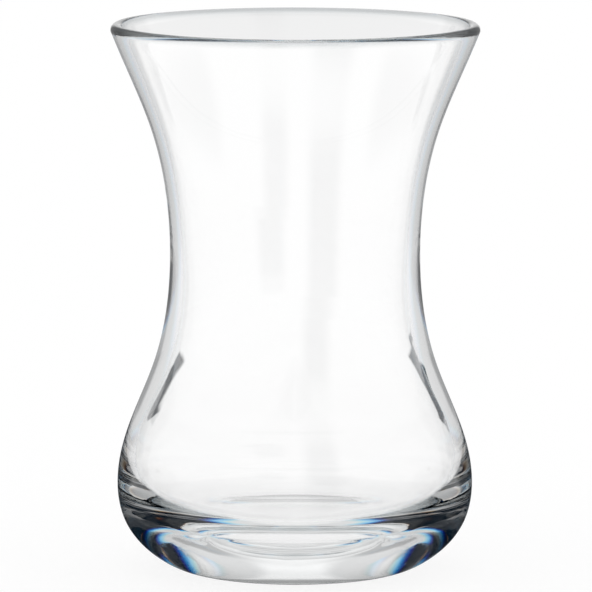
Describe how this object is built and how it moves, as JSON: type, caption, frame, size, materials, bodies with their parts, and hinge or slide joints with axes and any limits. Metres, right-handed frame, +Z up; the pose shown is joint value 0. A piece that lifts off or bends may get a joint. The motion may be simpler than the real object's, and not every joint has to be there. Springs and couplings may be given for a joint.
{
  "type": "turkish tea glass",
  "caption": "Tulip-shaped clear tea glass with a flared rounded lip, a narrow waist, a round belly and a thick solid base.",
  "frame": {"origin": "centre of the flat ring that the glass stands on", "axes": "+Z up along the axis of the glass; X and Y are any two level directions, as the glass is round"},
  "size_m": [0.0604, 0.0604, 0.09],
  "materials": {
    "glass": "clear fire-polished soda-lime glass"
  },
  "bodies": {
    "root": {"glass": "glass"}
  },
  "joints": []
}
